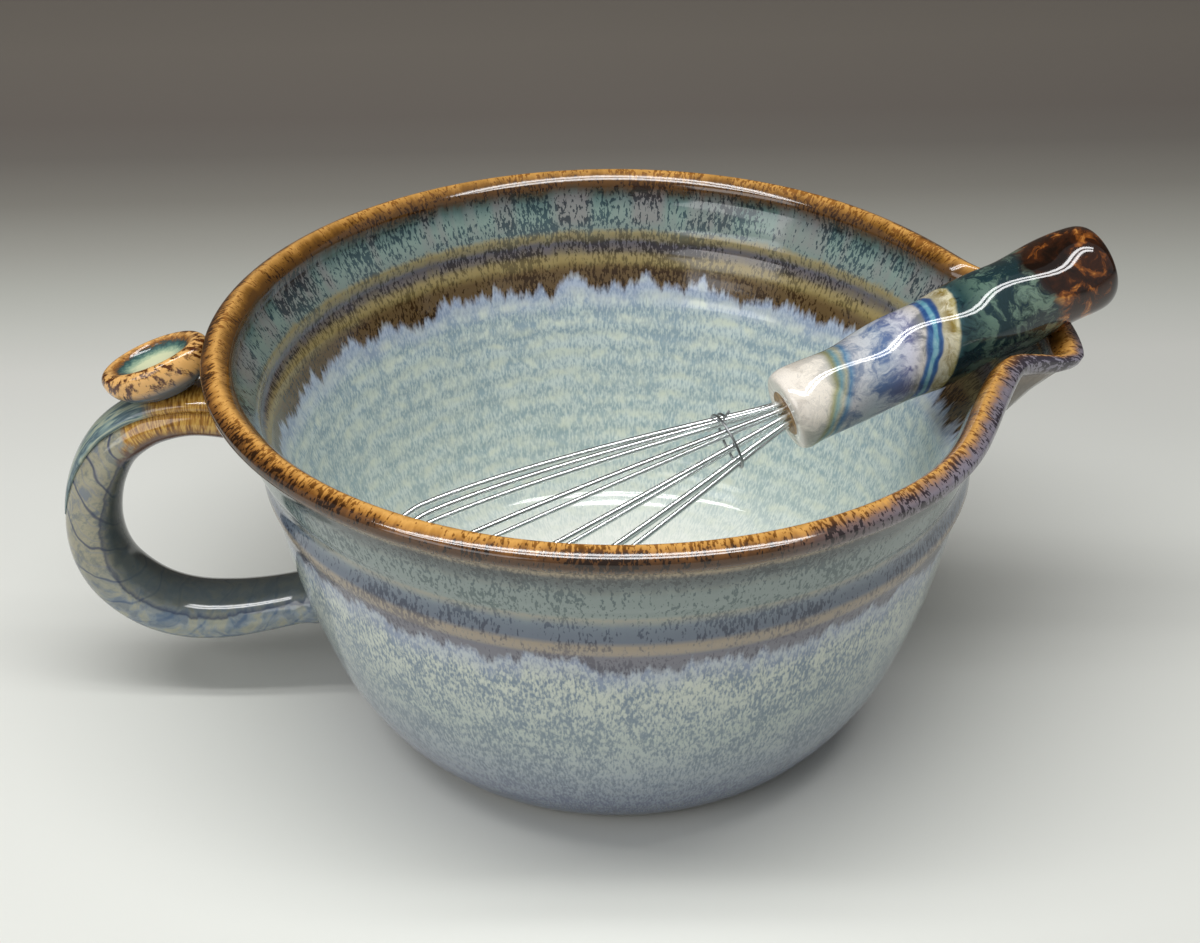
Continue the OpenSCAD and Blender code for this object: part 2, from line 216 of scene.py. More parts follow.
# %% The pull of the spout, in mm and degrees
RIM_HEIGHT = 115
SPOUT_TURN, SPOUT_HALF, SPOUT_CORNER = 8, 12.1, 9.3
SPOUT_OUT, SPOUT_DIP, SPOUT_DEEP = 17.5, 6.2, 36
NEAR_PINCH, FAR_PINCH, PINCH_AT, PINCH_WIDE = 5.6, 1.0, 27.6, 16.5


def bell(x):
    return math.exp(-x * x)


def pulled(point):
    """Where a point of the turned wall goes as the spout is pulled."""
    angle = math.degrees(math.atan2(point.y, point.x))
    radius, height = math.hypot(point.x, point.y) / MM, point.z / MM
    off = (angle - SPOUT_TURN + 180) % 360 - 180
    up = max(0.0, min(1.0, 1 - (RIM_HEIGHT - height) / SPOUT_DEEP))
    weight = up**1.2 * (1.6 - 0.6 * up)
    share = 1 / (1 + (abs(off) / SPOUT_HALF) ** SPOUT_CORNER)
    near, far = (bell((off + way * PINCH_AT) / PINCH_WIDE) for way in (1, -1))
    radius += weight * (SPOUT_OUT * share - NEAR_PINCH * near - FAR_PINCH * far)
    height -= SPOUT_DIP * share * weight**3
    turn = math.radians(angle)
    return Vector((math.cos(turn) * radius, math.sin(turn) * radius, height)) * MM


print("spout pulled out", SPOUT_OUT, "mm and", SPOUT_DIP, "mm down")

# %% [markdown]
# ## Glaze on the bowl
# This is stoneware, dipped in two glazes that ran into each other in the kiln: a pale
# blue one, and a dark one that breaks to ochre where it is thin, at the rim. Fired glaze
# is a coat of coloured glass, so lamps show in it as hard white lines, while its colour
# lies in soft runs below. A painted picture would need a seam and a fixed size. Here each
# height of the wall has its own two colours, and noise that is drawn out the way the
# glaze ran chooses between them. Its finest streaks are under a millimetre wide.

# %% Streaks, and colours by height
def streaks(material, vector, across_mm, along_mm, detail=3.0, seed=0.0):
    """Noise drawn out along the wall, from the size of its streaks in mm."""
    scale = (1 / across_mm, 1 / across_mm, 1 / along_mm)
    mapped = add(material, "Mapping", {"Vector": vector, "Location": (seed, seed, seed), "Scale": scale})
    return add(material, "TexNoise", {"Vector": mapped, "Scale": 1.0, "Detail": detail, "Roughness": 0.6})


def summed(material, value, shares):
    """A value with streaks added to it, each by its own amount."""
    for streak, amount in shares:
        value = add(material, "Math", {0: streak, 1: amount, 2: value}, operation="MULTIPLY_ADD")
    return value


def zone(side, rows):
    """Rows of height, light and deep colour, with their heights as shares of the outline."""
    return [(arc_at(side, height), light, deep) for height, light, deep in rows]


def two_tones(material, where, tone, rows):
    """The colours of a zone along the wall, deep at a tone of 0 and light at 1."""
    light = add(material, "ValToRGB", {0: where}, [(place, colour) for place, colour, _ in rows])
    deep = add(material, "ValToRGB", {0: where}, [(place, colour) for place, _, colour in rows])
    return add(material, "MixRGB", {0: tone, 1: deep, 2: light})


# %% The streaks of the bowl
bowl_glaze = new_material("variegated_stoneware_glaze")
place = add(bowl_glaze, "Attribute", attribute_name="glaze").outputs["Vector"]
round_wall = add(bowl_glaze, "SeparateXYZ", {0: place})
along = round_wall.outputs["Z"]
where = add(bowl_glaze, "Math", {0: along, 1: ARC_LENGTH}, operation="DIVIDE")
inner = add(bowl_glaze, "Math", {0: along, 1: RIM_ARC}, operation="GREATER_THAN")
broad = streaks(bowl_glaze, place, 11, 120, 2.0)
finger = streaks(bowl_glaze, place, 3.4, 50, 2.0, 7.0)
hair = streaks(bowl_glaze, place, 0.9, 4.2, 3.0, 3.0)
grain = streaks(bowl_glaze, place, 0.7, 1.7, 2.0, 5.0)
cloud = streaks(bowl_glaze, place, 5, 6, 3.0, 11.0)
patch = streaks(bowl_glaze, place, 17, 12, 2.0, 17.0)
print("finest streaks 0.7 mm across, broadest 11 mm")

# %% Where the two glazes meet, in mm down from the rim
OUTER_EDGE = RIM_ARC - arc_at("out", 72.3) * ARC_LENGTH
INNER_EDGE = arc_at("in", 84) * ARC_LENGTH - RIM_ARC
RUNS = [(broad, 12.0), (finger, 10.0), (hair, 4.0), (grain, 2.5)]
EDGE = OUTER_EDGE + sum(amount for streak, amount in RUNS) / 2
EDGE_SOFT, FRINGE = 1.3, 8
past_rim = add(bowl_glaze, "Math", {0: along, 1: RIM_ARC}, operation="SUBTRACT")
down = add(bowl_glaze, "Math", {0: past_rim}, operation="ABSOLUTE")
level = summed(bowl_glaze, down, [(inner, OUTER_EDGE - INNER_EDGE)] + RUNS)
pale_part = {"Value": level, "From Min": EDGE - EDGE_SOFT, "From Max": EDGE + EDGE_SOFT}
pale_part = add(bowl_glaze, "MapRange", pale_part)
fringe = add(bowl_glaze, "MapRange", {"Value": level, "From Min": EDGE + FRINGE, "From Max": EDGE + 0.5})
print("glazes meet", round(OUTER_EDGE, 1), "mm down outside and", round(INNER_EDGE, 1), "mm inside")

# %% [markdown]
# ## The pale glaze
# It covers the lower wall and the inside. Cream crystals float in a blue-grey coat, it
# pools nearly white on the floor and thins to dark blue at the foot. A single colour
# with noise on it would miss that, so each height has a light and a deep colour.

# %% The pale glaze by height: its light and its deep colour
PALE = zone("out", [
    (0.2, "#6A6258", "#564E46"), (1.4, "#5A5650", "#3E3C3A"), (2.4, "#36425A", "#263048"),
    (6, "#626E84", "#4C556C"), (14, "#848E9C", "#666E84"), (28, "#9CA6AC", "#727E8A"),
    (45, "#AEB8B2", "#73838E"), (64, "#C6CCC0", "#708292"), (74, "#C2C8C0", "#767E8E"),
]) + zone("in", [
    (84, "#B8C4D0", "#8C9BB1"), (76, "#C4D1CE", "#92A6B2"), (40, "#D0DBD4", "#A0B5B8"),
    (24, "#DCE5DC", "#B6C6C4"), (15, "#F3F4EC", "#E4E8E0"), (11, "#FDFCF7", "#F8F8F2"),
])
mixed = summed(bowl_glaze, grain, [(cloud, 0.4), (patch, 0.3)])
tone = add(bowl_glaze, "ValToRGB", {0: mixed}, [(0.74, 0.0), (0.96, 1.0)])
pale = two_tones(bowl_glaze, where, tone, PALE)
print(len(PALE), "heights of pale glaze")

# %% Paler bands on the throwing rings, broken up by the clouds, and a lilac fringe at the top
RINGS_OUTSIDE, RINGS_INSIDE = 0.12, 0.7
wave = summed(bowl_glaze, along, [(patch, 11.0)])
turn = add(bowl_glaze, "Math", {0: wave, 1: 2 * math.pi / RING_STEP}, operation="MULTIPLY")
ring = add(bowl_glaze, "Math", {0: turn}, operation="SINE")
band = add(bowl_glaze, "MapRange", {"Value": ring, "From Min": -0.5, "From Max": 1.0})
off_floor = {"Value": where, "From Min": arc_at("in", 14), "From Max": arc_at("in", 24)}
off_floor = add(bowl_glaze, "MapRange", off_floor)
side_share = add(bowl_glaze, "MapRange", {"Value": inner, "To Min": RINGS_OUTSIDE, "To Max": RINGS_INSIDE})
broken = add(bowl_glaze, "MapRange", {"Value": cloud, "From Min": 0.36, "From Max": 0.66})
for share in (off_floor, side_share, broken):
    band = add(bowl_glaze, "Math", {0: band, 1: share}, operation="MULTIPLY")
ring_colour = add(bowl_glaze, "MixRGB", {0: inner, 1: linear("#A9B0A4"), 2: linear("#D9DFCC")})
pale = add(bowl_glaze, "MixRGB", {0: band, 1: pale, 2: ring_colour})
fringe_amount = add(bowl_glaze, "Math", {0: fringe, 1: 0.5}, operation="MULTIPLY")
pale = add(bowl_glaze, "MixRGB", {0: fringe_amount, 1: pale, 2: linear("#9CA8C4")})
print("rings", RINGS_INSIDE, "strong inside and", RINGS_OUTSIDE, "outside")

# %% [markdown]
# ## The dark glaze
# It runs down from the rim: ochre on the crest, nearly black in the hollows beside it,
# then teal, blue-grey and brown. Its zones stay level round the pot, as it was dipped, so
# they follow the height. The runs only push them up and down by a few millimetres.

# %% The dark glaze by height, outside and inside: its light and its deep colour
UPPER = zone("out", [
    (70, "#72747E", "#52525F"), (76, "#6C6A74", "#524E5A"), (81, "#677180", "#394254"),
    (86, "#6D7985", "#425062"), (89, "#83908D", "#566866"), (98, "#808C89", "#4E5E61"),
    (100.6, "#545E5E", "#2E383B"), (104.6, "#484D4C", "#262B2D"), (108.4, "#84725A", "#564636"),
    (109.6, "#5A4026", "#2A1A0E"), (111.5, "#4A2F16", "#1E0F04"), (113, "#52351A", "#221204"),
    (113.9, "#7C5022", "#361E0C"), (114.5, "#BC8640", "#774C1C"), (114.9, "#DAA458", "#9C682E"),
])
NECK = zone("in", [
    (114.9, "#DAA458", "#9C682E"), (114, "#96682A", "#5A3814"), (112.8, "#60401A", "#331D0A"),
    (110.6, "#54381C", "#2A180A"), (109.2, "#443C2E", "#1A1A16"), (107.6, "#4E6664", "#20363C"),
    (104, "#7A8E86", "#3C5256"), (99.6, "#788680", "#465458"), (98, "#8A8060", "#564E3C"),
    (96, "#64606A", "#363238"), (93.4, "#645C54", "#2E2824"), (90.5, "#887C56", "#52482C"),
    (88.6, "#655133", "#382614"), (83, "#604C32", "#322210"), (74, "#54422E", "#2C1E10"),
])
PUSHES = [(finger, 4.0), (hair, 2.0), (patch, 4.0), (grain, 1.2)]
moved = summed(bowl_glaze, along, PUSHES)
moved = add(bowl_glaze, "Math", {0: moved, 1: -sum(amount for streak, amount in PUSHES) / 2}, operation="ADD")
moved = add(bowl_glaze, "Math", {0: moved, 1: ARC_LENGTH}, operation="DIVIDE")
hare = summed(bowl_glaze, grain, [(patch, 0.6), (hair, 0.5)])
tone = add(bowl_glaze, "ValToRGB", {0: hare}, [(0.95, 0.0), (1.05, 0.15), (1.14, 0.42), (1.28, 1.0)])
past_crest = add(bowl_glaze, "Math", {0: moved, 1: RIM_ARC / ARC_LENGTH}, operation="GREATER_THAN")
dark = add(bowl_glaze, "MixRGB", {
    0: past_crest, 1: two_tones(bowl_glaze, moved, tone, UPPER), 2: two_tones(bowl_glaze, moved, tone, NECK)})
print(len(UPPER) + len(NECK), "heights of dark glaze")

# %% Ridges, where the glaze is thin and the tan body shows through it, less glossy
RIDGES = [
    ("out", 76.8, 80.2, 0.7), ("out", 86.8, 88.6, 0.4), ("out", 98.9, 99.8, 0.3), ("out", 104.7, 109.1, 0.85),
    ("in", 99.2, 96.6, 0.7), ("in", 92.3, 89.3, 0.7),
]
RIDGE_SOFT = 0.7
stops = []
for side, start, end, amount in RIDGES:
    first, last = arc_at(side, start), arc_at(side, end)
    soft = min(RIDGE_SOFT / ARC_LENGTH, 0.3 * (last - first))
    stops += [(first - soft, 0.0), (first + soft, amount), (last - soft, amount), (last + soft, 0.0)]
ridge = add(bowl_glaze, "ValToRGB", {0: where}, stops)
worn = add(bowl_glaze, "MapRange", {"Value": hare, "From Min": 0.9, "From Max": 1.12, "To Min": 0.35})
ridge_amount = add(bowl_glaze, "Math", {0: ridge, 1: worn}, operation="MULTIPLY")
tan = add(bowl_glaze, "MixRGB", {0: inner, 1: linear("#AC9A7C"), 2: linear("#9C8A56")})
dark = add(bowl_glaze, "MixRGB", {0: ridge_amount, 1: dark, 2: tan})
gloss = add(bowl_glaze, "MapRange", {"Value": ridge_amount, "To Min": 0.09, "To Max": 0.3})
print(len(RIDGES), "ridges")


# %% Mauve on the bead beside the spout, smoky runs inside the neck, thin glaze under the lip
def window(side, heights, amount):
    """Ramp stops that rise to an amount between the first two heights and fall between the last two."""
    start, rise, fall, end = (arc_at(side, height) for height in heights)
    return [(start, 0.0), (rise, amount), (fall, amount), (end, 0.0)]


MAUVE, SMOKE, THIN = 0.9, 0.6, 0.8
angle = add(bowl_glaze, "Math", {0: round_wall.outputs["Y"], 1: round_wall.outputs["X"]}, operation="ARCTAN2")
near = add(bowl_glaze, "MapRange", {"Value": angle, "From Min": -1.25, "From Max": -0.7})
far = add(bowl_glaze, "MapRange", {"Value": angle, "From Min": 0.3, "From Max": 0.0})
beside = add(bowl_glaze, "Math", {0: near, 1: far}, operation="MULTIPLY")
bead = add(bowl_glaze, "ValToRGB", {0: moved}, window("out", (105, 108, 113.6, 114.9), MAUVE))
neck = add(bowl_glaze, "ValToRGB", {0: where}, window("in", (111, 108.5, 102, 99.5), 1.0))
smoky = add(bowl_glaze, "MapRange", {"Value": broad, "From Min": 0.47, "From Max": 0.62, "To Max": SMOKE})
SPOUT_SIDE = 26
off_spout = {0: angle, 1: math.radians(SPOUT_TURN), 2: math.radians(SPOUT_SIDE)}
off_spout = add(bowl_glaze, "Math", off_spout, operation="COMPARE")
under = add(bowl_glaze, "ValToRGB", {0: where}, window("out", (90, 98, 108, 110), THIN))
mauve = add(bowl_glaze, "MixRGB", {0: tone, 1: linear("#403C46"), 2: linear("#8E8A98")})
smoke = add(bowl_glaze, "MixRGB", {0: tone, 1: linear("#383034"), 2: linear("#84797A")})
thin_brown = linear("#766B5E")
for place, part, colour in [(beside, bead, mauve), (neck, smoky, smoke), (off_spout, under, thin_brown)]:
    amount = add(bowl_glaze, "Math", {0: place, 1: part}, operation="MULTIPLY")
    dark = add(bowl_glaze, "MixRGB", {0: amount, 1: dark, 2: colour})
print("mauve up to", MAUVE, "smoke up to", SMOKE, "thin glaze up to", THIN)

# %% The bowl's glaze, put together
GLAZE_IOR = 1.6
glaze_colour = add(bowl_glaze, "MixRGB", {0: pale_part, 1: dark, 2: pale})
bump = add(bowl_glaze, "Bump", {"Height": mixed, "Strength": 0.1, "Distance": 0.12 * MM})
shaded(bowl_glaze, glaze_colour, gloss, IOR=GLAZE_IOR, Normal=bump)

# %% [markdown]
# ## The bowl
# The outline is spun round the upright axis, as the wheel did. Each point keeps how far
# along the outline it is and its angle, as a vector on a cylinder, which the glaze reads
# without a seam. Only then is the spout pulled, so the glaze runs out over it.

# %% Spin the bowl
WALL_RADIUS, PULLED_FROM = 95, 75
bm = bmesh.new()
arc_layer = bm.verts.layers.float.new("arc")
row = [bm.verts.new(p * MM) for p in outline]
for vert, length in zip(row, arc):
    vert[arc_layer] = length
spun(bm, row, 240)
bmesh.ops.remove_doubles(bm, verts=bm.verts, dist=0.01 * MM)
glaze_layer = bm.verts.layers.float_vector.new("glaze")
for vert in bm.verts:
    turn = math.atan2(vert.co.y, vert.co.x)
    vert[glaze_layer] = Vector((WALL_RADIUS * math.cos(turn), WALL_RADIUS * math.sin(turn), vert[arc_layer]))
    if vert.co.z > PULLED_FROM * MM:
        vert.co = pulled(vert.co)
finished(bm, "thrown_bowl", "bowl", bowl_glaze, ["bowl_body"])

# %% [markdown]
# ## Sweeping a section along a line
# The handle and the wires are round or oval sections drawn along a line. A curve object
# with a bevel could do it, but its points can't keep an attribute. Here a circle is made
# once, extruded from place to place, and turned to face along the line. Each point keeps
# where it would be on the straight piece, for patterns that follow it.

# %% The sweep
def facing(line, i, across):
    """The turn that faces a section along the line at one of its points."""
    ahead = (line[min(i + 1, len(line) - 1)] - line[max(i - 1, 0)]).normalized()
    side = across - across.dot(ahead) * ahead
    side.normalize()
    turn = Matrix((side, ahead.cross(side), ahead)).transposed().to_4x4()
    return Matrix.Translation(line[i]) @ turn


def sweep(line, sizes, across, segments):
    """A tube along a line in mm; sizes are its half width along across, and its half thickness."""
    bm = bmesh.new()
    straight = bm.verts.layers.float_vector.new("straight")
    bmesh.ops.create_circle(bm, cap_ends=True, segments=segments, radius=1.0)
    ring = list(bm.verts)
    section = [v.co.copy() for v in ring]
    edges = list(bm.edges)
    length = 0.0
    for i in range(len(line)):
        if i:
            made = bmesh.ops.extrude_edge_only(bm, edges=edges)["geom"]
            ring = [g for g in made if isinstance(g, bmesh.types.BMVert)]
            edges = [g for g in made if isinstance(g, bmesh.types.BMEdge) and all(v in ring for v in g.verts)]
            length += (line[i] - line[i - 1]).length
        place = facing(line, i, across)
        for vert, flat in zip(ring, section):
            wide = Vector((flat.x * sizes[i][0], flat.y * sizes[i][1], 0))
            vert.co = (place @ wide) * MM
            vert[straight] = Vector((wide.x, wide.y, length))
    bmesh.ops.contextual_create(bm, geom=edges)
    return bm


# %% [markdown]
# ## The handle's finish
# Blue slip was folded into buff clay, which was pulled and dipped in clear glaze: thin
# dark veins wind through it, soft inside and hard and wet on top. The ochre glaze of the
# rim runs out over the upper limb. Marble noise alone gives clouds, so the veins are
# drawn as thin lines at a set spacing, on a point that noise pushes about.

# %% Swirls and veins
def swirled(material, spot, size_mm, push_mm, seed=0.0):
    """The point pushed about by noise, so that a pattern drawn on it swirls."""
    scale = (1 / size_mm,) * 3
    mapped = add(material, "Mapping", {"Vector": spot, "Location": (seed, seed, seed), "Scale": scale})
    push = add(material, "TexNoise", {"Vector": mapped, "Scale": 1.0, "Detail": 2.0}).outputs["Color"]
    centred = add(material, "VectorMath", {0: push, 1: (0.5, 0.5, 0.5)}, operation="SUBTRACT")
    return add(material, "VectorMath", {0: centred, 1: (push_mm,) * 3, 2: spot}, operation="MULTIPLY_ADD")


def vein(material, value, spacing_mm, width_mm, soft):
    """1 on thin lines at each spacing of a value in mm, and 0 between them."""
    turn = add(material, "Math", {0: value, 1: 2 * math.pi / spacing_mm}, operation="MULTIPLY")
    wave = add(material, "Math", {0: turn}, operation="COSINE")
    edge = math.cos(math.pi * width_mm / spacing_mm)
    return add(material, "MapRange", {"Value": wave, "From Min": edge - soft, "From Max": edge + soft})


# %% Marbled clay with its veins
VEIN_STEP, THIN_STEP = 10.5, 4.7
handle_glaze = new_material("marbled_clay_glaze")
spot = add(handle_glaze, "Attribute", attribute_name="straight").outputs["Vector"]
swirl = swirled(handle_glaze, spot, 16, 13)
parts = add(handle_glaze, "SeparateXYZ", {0: swirl})
slant = {0: parts.outputs["Y"], 1: -0.9, 2: parts.outputs["Z"]}
slant = add(handle_glaze, "Math", slant, operation="MULTIPLY_ADD")
body = add(handle_glaze, "TexNoise", {"Vector": swirl, "Scale": 0.13, "Detail": 7.0, "Roughness": 0.68})
body = add(handle_glaze, "ValToRGB", {0: body}, [
    (0.34, "#56626E"), (0.43, "#787A72"), (0.50, "#98947E"), (0.56, "#908C7A"), (0.64, "#70767A")])
thin = vein(handle_glaze, slant, THIN_STEP, 0.45, 0.1)
thin_amount = add(handle_glaze, "Math", {0: thin, 1: 0.4}, operation="MULTIPLY")
marble = add(handle_glaze, "MixRGB", {0: thin_amount, 1: body, 2: linear("#66708A")})
lines = vein(handle_glaze, slant, VEIN_STEP, 1.0, 0.05)
line_amount = add(handle_glaze, "Math", {0: lines, 1: 0.9}, operation="MULTIPLY")
marble = add(handle_glaze, "MixRGB", {0: line_amount, 1: marble, 2: linear("#303A54")})
print("veins every", VEIN_STEP, "and", THIN_STEP, "mm")

# %% Bluer clay at the bottom of the loop, and the dark inner face, partly its own glaze and partly painted shade, with its blue line
BLUE_BELOW, BLUEST = 48, 30
blot = add(handle_glaze, "TexNoise", {"Vector": swirl, "Scale": 0.22, "Detail": 4.0})
blue = add(handle_glaze, "ValToRGB", {0: blot}, [(0.42, "#587089"), (0.50, "#7E8E9A"), (0.60, "#9A9E90")])
position = add(handle_glaze, "TexCoord").outputs["Object"]
corner = add(handle_glaze, "SeparateXYZ", {0: position})
height = corner.outputs["Z"]
low = {"Value": height, "From Min": BLUE_BELOW * MM, "From Max": BLUEST * MM, "To Max": 0.65}
low = add(handle_glaze, "MapRange", low)
marble = add(handle_glaze, "MixRGB", {0: low, 1: marble, 2: blue})
thick = add(handle_glaze, "SeparateXYZ", {0: spot}).outputs["Y"]
ragged = add(handle_glaze, "Math", {0: blot, 1: 2.5, 2: thick}, operation="MULTIPLY_ADD")
# The loop's inner face is darkened here: partly the glaze's own darker colour, partly painted shade from the
# upper limb and a painted reflection of the dark backdrop.
inside = add(handle_glaze, "MapRange", {"Value": ragged, "From Min": 3.8, "From Max": 7.0, "To Max": 0.88})
marble = add(handle_glaze, "MixRGB", {0: inside, 1: marble, 2: linear("#424A4B")})
edge = add(handle_glaze, "Math", {0: ragged, 1: 0.1}, operation="MULTIPLY")
edge_line = add(handle_glaze, "ValToRGB", {0: edge}, [(0.41, 0.0), (0.45, 0.7), (0.47, 0.7), (0.56, 0.0)])
marble = add(handle_glaze, "MixRGB", {0: edge_line, 1: marble, 2: linear("#2E3850")})
print("blue below", BLUE_BELOW, "mm")


# %% Ochre glaze on the handle's upper limb
def ochre_runs(material, spot):
    """Ochre glaze with fine darker runs, which lie across the limb, 3 mm long and 0.5 mm wide."""
    drawn = add(material, "Mapping", {"Vector": spot, "Scale": (0.3, 0.3, 1.9)})
    runs = add(material, "TexNoise", {"Vector": drawn, "Scale": 1.0, "Detail": 4.0})
    return add(material, "ValToRGB", {0: runs}, [(0.34, "#6E4818"), (0.48, "#A2742E"), (0.62, "#C8A050")])


ochre = ochre_runs(handle_glaze, spot)
edge = add(handle_glaze, "Math", {0: blot, 1: 4.0, 2: thick}, operation="MULTIPLY_ADD")
under = add(handle_glaze, "Math", {0: edge, 1: 0.1}, operation="MULTIPLY")
under = add(handle_glaze, "ValToRGB", {0: under}, [(0.24, 0.0), (0.42, 1.0)])
ochre = add(handle_glaze, "MixRGB", {0: under, 1: ochre, 2: linear("#6A5248")})
pale_under = add(handle_glaze, "MapRange", {"Value": edge, "From Min": 5.2, "From Max": 6.4})
ochre = add(handle_glaze, "MixRGB", {0: pale_under, 1: ochre, 2: linear("#8E8E92")})
reach = add(handle_glaze, "Math", {0: blot, 1: 12 * MM, 2: corner.outputs["X"]}, operation="MULTIPLY_ADD")
upper = add(handle_glaze, "MapRange", {"Value": reach, "From Min": -127.5 * MM, "From Max": -125.5 * MM})
high = add(handle_glaze, "MapRange", {"Value": height, "From Min": 60 * MM, "From Max": 66 * MM})
part = add(handle_glaze, "Math", {0: upper, 1: high}, operation="MULTIPLY")
handle_colour = add(handle_glaze, "MixRGB", {0: part, 1: marble, 2: ochre})
shaded(handle_glaze, handle_colour, 0.1, IOR=GLAZE_IOR)

# %% [markdown]
# ## The handle
# A pulled handle is stroked from a lump of wet clay, bent into a loop and joined with
# slip. It is oval, widest through its outer bend, and swells a little where it joins. A
# bent torus would be too even, so an oval is swept along points read from the picture.

# %% The handle: x and height of its line, then its half width and half thickness, in mm
HANDLE = [
    (-94.6, 88.8, 7.4, 4.4), (-98.6, 88.6, 9.6, 6.7), (-104, 89.2, 8.8, 5.8), (-114, 90, 8.6, 5.6),
    (-122.3, 88.7, 8.6, 5.8), (-130, 85.4, 8.7, 6.1), (-137.2, 79.4, 9.0, 6.6), (-142.5, 70, 9.7, 7.2),
    (-145.2, 59, 10.3, 7.7), (-145, 49, 10.8, 8.0), (-142, 40.4, 11.0, 8.0), (-136.4, 33.7, 11.0, 8.0),
    (-129, 28.7, 11.0, 7.8), (-120, 26.1, 11.0, 7.5), (-110, 25.9, 10.7, 7.2), (-100, 27.3, 10.1, 6.7),
    (-90, 29.5, 9.7, 6.5), (-84.5, 30.9, 10.6, 7.4), (-79.6, 32, 8.0, 4.6),
]
STEPS = 6
ACROSS = Vector((0, 1, 0))
handle_line = smooth_line([(x, 0, z) for x, z, w, t in HANDLE], STEPS)
handle_sizes = smooth_line([(w, t, 0) for x, z, w, t in HANDLE], STEPS)
bm = sweep(handle_line, handle_sizes, ACROSS, 48)
finished(bm, "pulled_handle", "bowl", handle_glaze, ["handle"])

# %% [markdown]
# ## The thumb rest
# A ball of clay is pressed onto the top of the handle with the thumb, which leaves an
# oval print with a soft crest round it. The dark glaze was dabbed on: it pools pale green
# in the print, breaks to ochre on the crest and stays speckled below, all of it glossy.
# Sculpting would do, but a turned outline that is drawn out to an oval is easier to fit.

# %% The thumb rest's glaze, from the middle of the print outwards
rest_glaze = new_material("ochre_breaking_glaze")
spot = add(rest_glaze, "Attribute", attribute_name="pressed").outputs["Vector"]
from_middle = add(rest_glaze, "SeparateXYZ", {0: spot}).outputs["X"]
grain = add(rest_glaze, "TexNoise", {"Vector": spot, "Scale": 0.62, "Detail": 6.0, "Roughness": 0.75})
edge = add(rest_glaze, "Math", {0: grain, 1: 0.34, 2: from_middle}, operation="MULTIPLY_ADD")
print_colour = add(rest_glaze, "ValToRGB", {0: edge}, [
    (0.10, "#E2E4BE"), (0.52, "#D2D8B2"), (0.64, "#9AB096"), (0.74, "#4E6E68"), (0.82, "#2C4648"),
    (0.88, "#8A5824"), (0.97, "#E2AE68")])
blotch = add(rest_glaze, "TexNoise", {"Vector": spot, "Scale": 0.30, "Detail": 4.0})
patchy = add(rest_glaze, "Math", {0: blotch, 1: 0.8, 2: grain}, operation="MULTIPLY_ADD")
speckle = add(rest_glaze, "ValToRGB", {0: patchy}, [(0.82, 1.0), (0.93, 0.0)])
outside = add(rest_glaze, "MapRange", {"Value": edge, "From Min": 0.90, "From Max": 1.0})
dark_spots = add(rest_glaze, "Math", {0: speckle, 1: outside}, operation="MULTIPLY")
rest_colour = add(rest_glaze, "MixRGB", {0: dark_spots, 1: print_colour, 2: linear("#52290C")})
drop = add(rest_glaze, "MapRange", {"Value": from_middle, "From Min": 1.22, "From Max": 1.5})
rest_colour = add(rest_glaze, "MixRGB", {0: drop, 1: rest_colour, 2: linear("#5A646C")})
shaded(rest_glaze, rest_colour, 0.09, IOR=GLAZE_IOR)

# %% The thumb rest
REST_LONG, REST_WIDE, PRINT_DEEP = 15.6, 10.6, 3.2
REST_PLACE, REST_TILT = (-124.8, 0, 107.8), -22
REST = [
    (0, -3.0), (3.4, -2.9), (7.0, -2.5), (9.7, -1.56), (11.3, -0.5), (12.8, 0), (14.5, -0.5), (15.6, -2),
    (15.6, -4.25), (14.8, -6.5), (13.1, -8.5), (10.3, -10.3), (7, -11.9), (0, -12.4),
]
bm = bmesh.new()
pressed = bm.verts.layers.float_vector.new("pressed")
row = [bm.verts.new(p * MM) for p in smooth_line([(r, 0, z) for r, z in REST], 4)]
for vert in row:
    vert[pressed] = Vector((vert.co.x / (REST_LONG * MM), vert.co.z / MM, 0))
spun(bm, row, 64)
for vert in bm.verts:
    share, deep, _ = vert[pressed]
    below = max(0.0, -deep - PRINT_DEEP) / 10
    vert[pressed] = Vector((share if below == 0 else 1 + below, vert.co.x / MM, vert.co.y / MM + deep))
bmesh.ops.scale(bm, vec=(1, REST_WIDE / REST_LONG, 1), verts=bm.verts)
set_down = Matrix.Translation(Vector(REST_PLACE) * MM) @ Matrix.Rotation(math.radians(REST_TILT), 4, "Y")
bmesh.ops.transform(bm, matrix=set_down, verts=bm.verts)
finished(bm, "thumb_rest_pad", "bowl", rest_glaze, ["thumb_rest"])

# %% [markdown]
# ## The tail of the thumb rest
# The clay left over under the pad is stroked down the outer side of the handle, where it
# thins out to a ribbon. Celadon, a pale green glaze, ran down it in long thin streaks and
# is as glossy as the rest; its root is ochre. The ribbon could be part of the handle, but
# it has its own glaze, so it is swept beside the handle's line and stays on it.

# %% The ribbon's glaze
ribbon_glaze = new_material("celadon_marbled_glaze")
spot = add(ribbon_glaze, "Attribute", attribute_name="straight").outputs["Vector"]
drawn = add(ribbon_glaze, "Mapping", {"Vector": spot, "Scale": (0.34, 0.34, 0.05)})
flow = add(ribbon_glaze, "TexNoise", {"Vector": drawn, "Scale": 1.0, "Detail": 3.0, "Distortion": 0.5})
ribbon = add(ribbon_glaze, "ValToRGB", {0: flow}, [
    (0.30, "#3C4E58"), (0.40, "#6F8584"), (0.47, "#A9B09A"), (0.52, "#7C908C"), (0.58, "#4A5E68"),
    (0.66, "#8FA09A")])
run = add(ribbon_glaze, "SeparateXYZ", {0: spot}).outputs["Z"]
uneven = add(ribbon_glaze, "Math", {0: flow, 1: 9.0, 2: run}, operation="MULTIPLY_ADD")
root = add(ribbon_glaze, "MapRange", {"Value": uneven, "From Min": 24.5, "From Max": 20.5})
ribbon = add(ribbon_glaze, "MixRGB", {0: root, 1: ribbon, 2: ochre_runs(ribbon_glaze, spot)})
shaded(ribbon_glaze, ribbon, 0.09, IOR=GLAZE_IOR)

